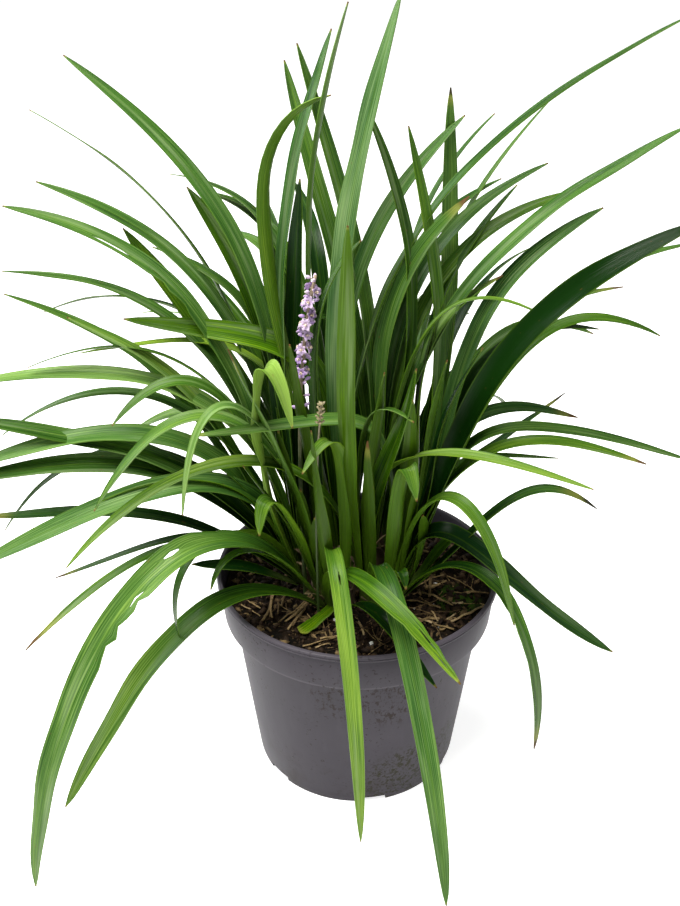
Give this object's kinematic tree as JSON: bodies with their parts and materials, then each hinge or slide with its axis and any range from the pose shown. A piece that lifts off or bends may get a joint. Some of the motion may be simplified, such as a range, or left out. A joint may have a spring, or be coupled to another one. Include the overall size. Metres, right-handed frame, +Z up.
{
  "type": "potted liriope",
  "caption": "Clump of arching strap-shaped liriope leaves with lilac flower spikes, growing in soil in a round collared nursery pot with a notched foot.",
  "frame": {"origin": "centre of the pot's underside, on the surface that it stands on", "axes": "+Z up along the pot's axis, -Y towards the front, where the long leaves hang over the rim, +X to the right seen from the front"},
  "size_m": [0.4174, 0.3684, 0.467],
  "materials": {
    "pot_plastic": "moulded taupe-grey plastic, faintly scuffed, with splashes of soil and algae near the foot",
    "soil": "damp dark peat with coarse straw, bark fibres and perlite",
    "leaf": "glossy strap leaves with fine parallel veins, some with browned tips",
    "flower": "soft lilac petals",
    "bud": "pale yellow-green buds on a thin green stalk"
  },
  "bodies": {
    "root": {"pot": "pot_plastic", "soil": "soil", "leaves": "leaf", "flower_spike_main": "flower", "flower_spike_young": "bud"}
  },
  "joints": []
}
